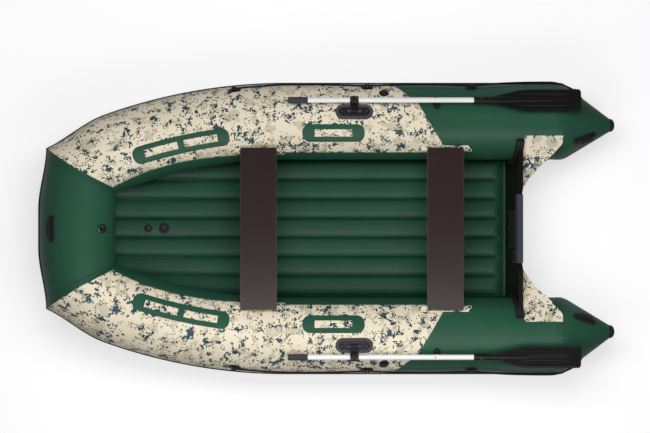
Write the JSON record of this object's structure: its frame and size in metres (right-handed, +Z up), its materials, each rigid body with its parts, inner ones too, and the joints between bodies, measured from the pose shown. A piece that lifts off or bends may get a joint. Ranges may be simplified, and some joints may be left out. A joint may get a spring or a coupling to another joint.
{
  "type": "inflatable rowing boat",
  "caption": "Inflatable rowing boat with pontoon tubes, ribbed air floor, plank seats, transom and stowed oars on pivoting oarlocks.",
  "frame": {"origin": "centre of the overall box, at the level that the boat stands on", "axes": "+X forward to the bow, +Y to port, +Z up"},
  "size_m": [3.204, 1.6394, 0.5633],
  "materials": {
    "pvc_green": "satin coated fabric",
    "pvc_camo": "satin coated fabric with a pixel pattern",
    "moulded_black": "moulded",
    "strake_black": "ribbed",
    "tape_black": "coarse",
    "rope_black": "braided",
    "plywood": "film faced",
    "plastic_grey": "moulded",
    "aluminium": "satin",
    "steel": "brushed"
  },
  "bodies": {
    "hull": {"side_tube_port": "pvc_camo", "side_tube_starboard": "pvc_camo", "stern_cone_port": "pvc_green", "stern_cone_starboard": "pvc_green", "cone_cap_port": "moulded_black", "cone_cap_starboard": "moulded_black", "strake_port": "strake_black", "strake_starboard": "strake_black", "skid_tape_port": "tape_black", "skid_tape_starboard": "tape_black", "transom_holder_port": "moulded_black", "transom_holder_starboard": "moulded_black", "transom_knee_port": "pvc_camo", "transom_knee_starboard": "pvc_camo", "oarlock_base_port": "moulded_black", "oarlock_base_starboard": "moulded_black", "hinge_pin_port": "steel", "hinge_pin_starboard": "steel", "oar_cradle_port": "moulded_black", "oar_cradle_starboard": "moulded_black", "lifeline_port": "rope_black", "lifeline_starboard": "rope_black", "lifeline_holders_port": "moulded_black", "lifeline_holders_starboard": "moulded_black", "fabric_frames_port": "pvc_green", "fabric_frames_starboard": "pvc_green", "cone_handle_port": "moulded_black", "cone_handle_starboard": "moulded_black", "side_valve_port": "moulded_black", "side_valve_starboard": "moulded_black", "bow_tube": "pvc_green", "strake_bow": "strake_black", "floor_mat": "pvc_green", "keel_tape": "tape_black", "seat_rails_fore": "pvc_camo", "seat_rails_aft": "pvc_camo", "transom_board": "plywood", "transom_cap": "plastic_grey", "motor_plate": "plastic_grey", "clamp_pad": "moulded_black", "bow_handle": "moulded_black", "floor_valves": "moulded_black", "bow_ring": "steel"},
    "oarlock_port": {"oarlock_arm_port": "moulded_black"},
    "oar_port": {"oar_collar_port": "moulded_black", "oar_shaft_port": "aluminium", "oar_grip_port": "moulded_black", "oar_blade_port": "moulded_black"},
    "oarlock_starboard": {"oarlock_arm_starboard": "moulded_black"},
    "oar_starboard": {"oar_collar_starboard": "moulded_black", "oar_shaft_starboard": "aluminium", "oar_grip_starboard": "moulded_black", "oar_blade_starboard": "moulded_black"},
    "fore_seat": {"seat_fore": "plywood", "seat_cleats_fore": "moulded_black"},
    "aft_seat": {"seat_aft": "plywood", "seat_cleats_aft": "moulded_black"}
  },
  "joints": [
    {"name": "oarlock_tilt_port", "type": "hinge", "parent": "hull", "child": "oarlock_port", "pos_m": [-0.148, 0.64939, 0.43472], "axis": [1, 0, 0], "range_deg": [0, 25]},
    {"name": "oar_swing_port", "type": "hinge", "parent": "oarlock_port", "child": "oar_port", "pos_m": [-0.148, 0.70913, 0.44022], "axis": [0, -0.4493, -0.8934], "range_deg": [0, 130]},
    {"name": "oarlock_tilt_starboard", "type": "hinge", "parent": "hull", "child": "oarlock_starboard", "pos_m": [-0.148, -0.64939, 0.43472], "axis": [-1, 0, 0], "range_deg": [0, 25]},
    {"name": "oar_swing_starboard", "type": "hinge", "parent": "oarlock_starboard", "child": "oar_starboard", "pos_m": [-0.148, -0.70913, 0.44022], "axis": [0, -0.4493, 0.8934], "range_deg": [0, 130]},
    {"name": "fore_seat_slide", "type": "slide", "parent": "hull", "child": "fore_seat", "axis": [1, 0, 0], "range_m": [-0.045, 0.045]},
    {"name": "aft_seat_slide", "type": "slide", "parent": "hull", "child": "aft_seat", "axis": [1, 0, 0], "range_m": [-0.045, 0.045]}
  ]
}
